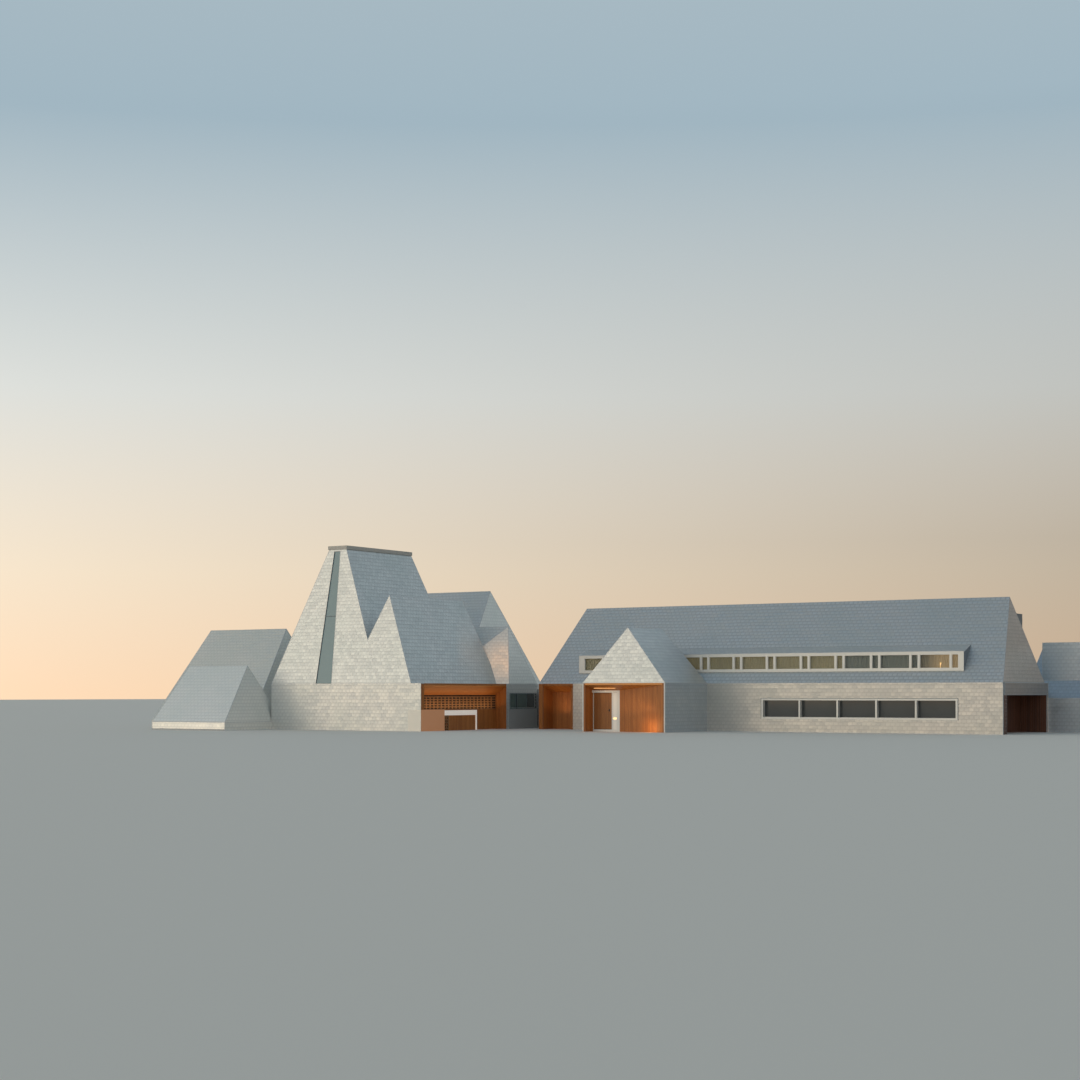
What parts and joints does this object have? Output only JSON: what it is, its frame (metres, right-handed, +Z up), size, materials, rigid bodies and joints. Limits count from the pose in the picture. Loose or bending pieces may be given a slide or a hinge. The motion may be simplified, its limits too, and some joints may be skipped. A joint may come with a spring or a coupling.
{
  "type": "modern church building at 1:2 scale",
  "caption": "Modern church of joined steep gabled houses clad in metal shingles, with a tall slit window, a long wing with dormers, timber-lined recesses and a gabled porch.",
  "frame": {"origin": "middle of the footprint's bounding box, on the ground", "axes": "+X along the long wing towards its right end, +Y to the back, +Z up"},
  "size_m": [34.874, 15.5448, 6.5454],
  "materials": {
    "shingle": "satin silver-grey metal shingles",
    "timber": "oiled orange-brown boards",
    "white_frame": "satin off-white",
    "glazing": "clear",
    "concrete": null
  },
  "bodies": {
    "building": {"great_gable_front": "shingle", "great_gable_back": "shingle", "great_left_roof": "shingle", "great_right_roof": "shingle", "great_cap": "shingle", "great_slit_glass": "glazing", "side_gable_front": "shingle", "side_gable_back": "shingle", "side_left_roof": "shingle", "side_right_roof": "shingle", "cross_left_gable": "shingle", "cross_right_gable": "shingle", "cross_front_roof": "shingle", "cross_back_roof": "shingle", "wing_left_gable": "shingle", "wing_right_gable": "shingle", "wing_front_roof": "shingle", "wing_back_roof": "shingle", "front_dormer": "white_frame", "front_dormer_glass": "glazing", "back_dormer": "white_frame", "back_dormer_glass": "glazing", "bay_roof": "shingle", "porch_gable": "shingle", "porch_back_gable": "shingle", "porch_left_roof": "shingle", "porch_right_roof": "shingle", "church_front_wall": "shingle", "church_left_wall": "shingle", "loggia_soffit": "timber", "loggia_back_wall": "timber", "loggia_end_wall": "shingle", "cross_left_wall": "shingle", "cross_back_wall": "shingle", "cross_right_wall": "shingle", "bay_walls": "shingle", "bay_glass": "glazing", "link_passage": "shingle", "wing_front_wall": "shingle", "wing_back_wall": "shingle", "wing_left_wall": "shingle", "wing_end_frame": "shingle", "wing_end_lining": "timber", "wing_corner_lining": "timber", "front_low_glass": "glazing", "back_low_glass": "glazing", "porch_left_wall": "shingle", "porch_right_wall": "shingle", "porch_lining": "timber", "porch_door_frame": "white_frame", "porch_side_glass": "glazing", "church_floor": "concrete", "wing_floor": "concrete", "wing_upper_floor": "concrete", "west_back_house": "shingle", "west_front_house": "shingle", "east_house": "shingle"},
    "entrance_door": {"porch_door": "timber"}
  },
  "joints": [
    {"name": "entrance_door_hinge", "type": "hinge", "parent": "building", "child": "entrance_door", "pos_m": [0.7125, -2.1175, 0.69625], "axis": [0, 0, 1], "range_deg": [0, 90]}
  ]
}
